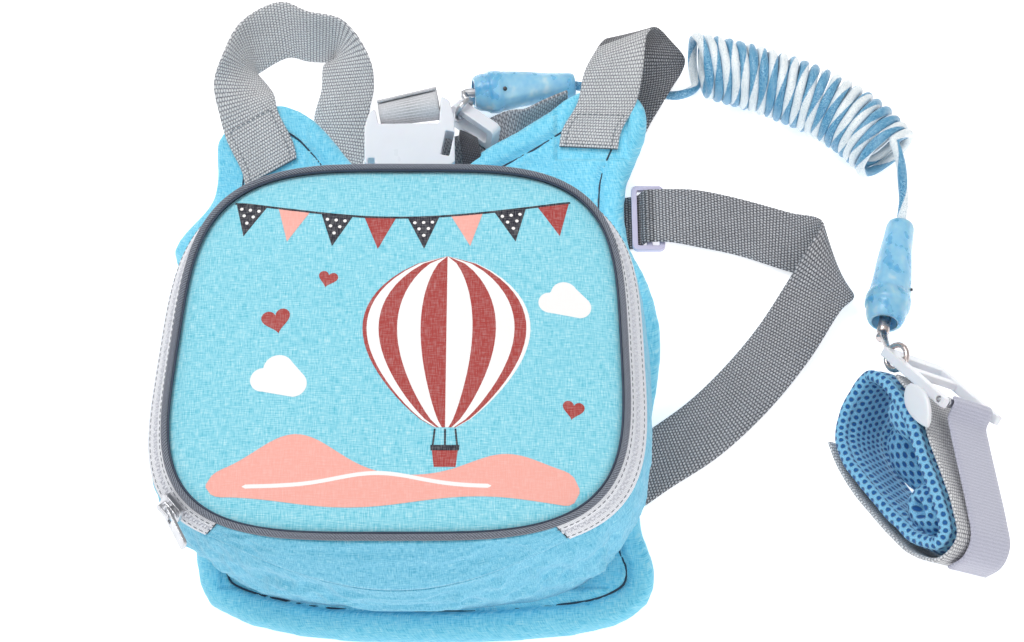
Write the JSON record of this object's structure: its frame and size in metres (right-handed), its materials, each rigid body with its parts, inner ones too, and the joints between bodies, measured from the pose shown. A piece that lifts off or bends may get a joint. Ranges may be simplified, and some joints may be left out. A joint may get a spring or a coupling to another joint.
{
  "type": "toddler harness backpack",
  "caption": "Small padded backpack with webbing arm loops and a chest buckle, lying on its back, joined by a coiled leash to a padded wristband.",
  "frame": {"origin": "centre of the padded back's flat outer face, on the floor", "axes": "+Z out of the bag's front, +Y towards the shoulder straps, +X to the right as the front is seen"},
  "size_m": [0.357, 0.3031, 0.092],
  "materials": {
    "back_panel": "melange cloth, padded",
    "bag_body": "melange cloth",
    "hinge_strip": "melange cloth",
    "front_panel": "printed melange cloth",
    "panel_piping": "piping",
    "zip_inner_tape": "zip tape",
    "zip_outer_tape": "zip tape",
    "zip_teeth": "coil zip",
    "zip_slider": "plated",
    "zip_pull": "plated",
    "strap_left": "woven webbing",
    "strap_right": "woven webbing",
    "side_strap_right": "woven webbing",
    "triglide_right": "moulded",
    "chest_buckle_female": "moulded",
    "chest_buckle_male": "moulded",
    "chest_strap_left": "satin webbing, rolled",
    "chest_strap_right": "woven webbing",
    "haul_ring": "moulded",
    "haul_tab": "woven webbing",
    "leash_hook_bag": "plated",
    "leash_hook_wrist": "plated",
    "leash_sleeve_bag": "translucent",
    "leash_sleeve_wrist": "translucent",
    "leash_lead_bag": "coated wire",
    "leash_lead_wrist": "coated wire",
    "leash_coil": "coated wire, coiled",
    "wrist_pad": "air mesh",
    "wrist_webbing": "woven webbing",
    "wrist_velcro": "hook and loop tape",
    "wrist_buckle": "moulded",
    "wrist_roller": "moulded"
  },
  "bodies": {
    "bag": {"back_panel": "back_panel", "bag_body": "bag_body", "hinge_strip": "hinge_strip", "front_panel": "front_panel", "panel_piping": "panel_piping", "zip_inner_tape": "zip_inner_tape", "zip_outer_tape": "zip_outer_tape", "zip_teeth": "zip_teeth", "zip_slider": "zip_slider", "strap_left": "strap_left", "strap_right": "strap_right", "side_strap_right": "side_strap_right", "triglide_right": "triglide_right", "chest_buckle_female": "chest_buckle_female", "chest_buckle_male": "chest_buckle_male", "chest_strap_left": "chest_strap_left", "chest_strap_right": "chest_strap_right", "haul_ring": "haul_ring", "haul_tab": "haul_tab", "leash_hook_bag": "leash_hook_bag", "leash_hook_wrist": "leash_hook_wrist", "leash_sleeve_bag": "leash_sleeve_bag", "leash_sleeve_wrist": "leash_sleeve_wrist", "leash_lead_bag": "leash_lead_bag", "leash_lead_wrist": "leash_lead_wrist", "leash_coil": "leash_coil", "wrist_pad": "wrist_pad", "wrist_webbing": "wrist_webbing", "wrist_velcro": "wrist_velcro", "wrist_buckle": "wrist_buckle", "wrist_roller": "wrist_roller"},
    "pull": {"zip_pull": "zip_pull"}
  },
  "joints": [
    {"name": "zip_pull_hinge", "type": "hinge", "parent": "bag", "child": "pull", "pos_m": [-0.09559, -0.0652, 0.08132], "axis": [0.3513, 0.2778, 0.8941], "range_deg": [-150, 6]}
  ]
}
